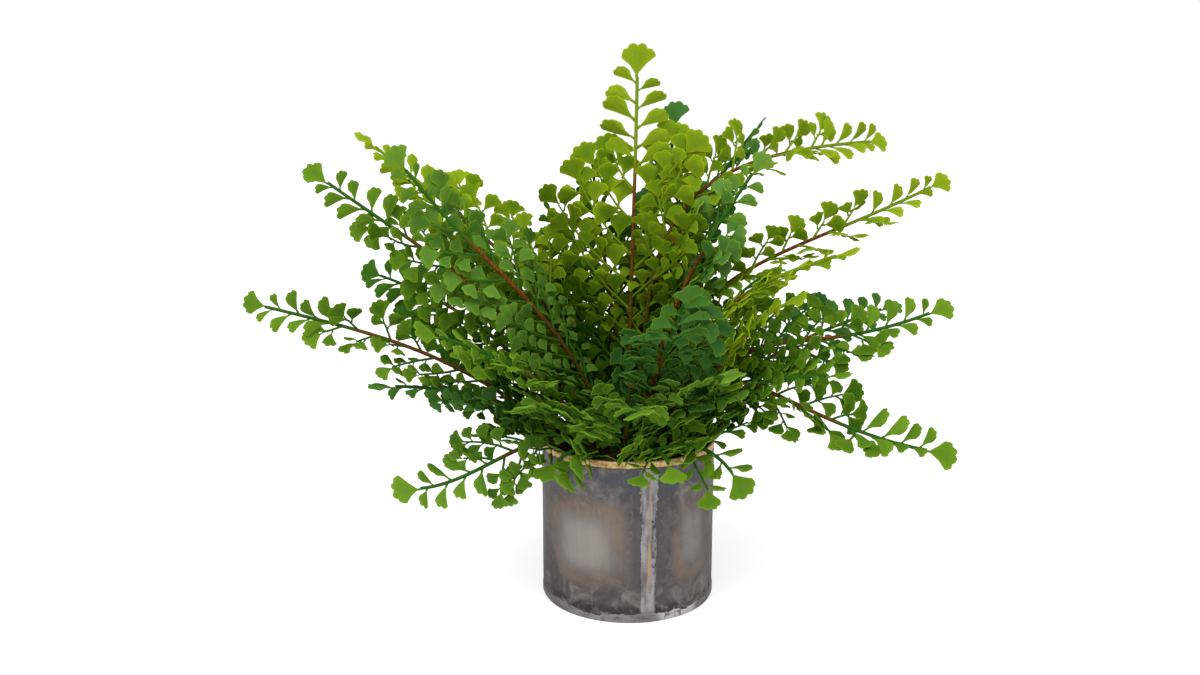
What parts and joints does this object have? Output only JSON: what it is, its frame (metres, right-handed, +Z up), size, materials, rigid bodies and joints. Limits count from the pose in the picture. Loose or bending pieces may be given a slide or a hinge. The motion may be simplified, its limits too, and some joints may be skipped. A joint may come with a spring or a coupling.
{
  "type": "potted maidenhair fern",
  "caption": "Maidenhair fern with arching compound fronds of fan-shaped leaflets, standing in soil in a cylindrical soldered steel pot with a brass-beaded rim.",
  "frame": {"origin": "centre of the pot's underside, on the surface it stands on", "axes": "+Z up along the pot's axis; the front, where the soldered seam shows a little to the right, faces -Y; +X is to the right seen from the front"},
  "size_m": [0.5171, 0.3348, 0.399],
  "materials": {
    "pot_steel": "satin",
    "rim_brass": "satin",
    "soil": "matte",
    "leaf_bright": "satin",
    "leaf_mid": "satin",
    "leaf_dark": "satin"
  },
  "bodies": {
    "root": {"pot": "pot_steel", "rim_bead": "rim_brass", "soil": "soil", "frond_01": "leaf_bright", "frond_02": "leaf_dark", "frond_03": "leaf_dark", "frond_04": "leaf_dark", "frond_05": "leaf_bright", "frond_06": "leaf_bright", "frond_07": "leaf_mid", "frond_08": "leaf_mid", "frond_09": "leaf_dark", "frond_10": "leaf_mid", "frond_11": "leaf_dark", "frond_12": "leaf_bright", "frond_13": "leaf_mid", "frond_14": "leaf_bright", "frond_15": "leaf_dark", "frond_16": "leaf_mid", "frond_17": "leaf_bright", "frond_18": "leaf_bright", "frond_19": "leaf_bright", "frond_20": "leaf_dark", "frond_21": "leaf_mid", "frond_22": "leaf_dark", "frond_23": "leaf_mid", "frond_24": "leaf_dark", "frond_25": "leaf_mid", "frond_26": "leaf_mid", "frond_27": "leaf_mid", "frond_28": "leaf_mid", "frond_29": "leaf_dark", "frond_30": "leaf_dark", "frond_31": "leaf_mid", "frond_32": "leaf_bright", "frond_33": "leaf_mid", "frond_34": "leaf_dark", "frond_35": "leaf_mid"}
  },
  "joints": []
}
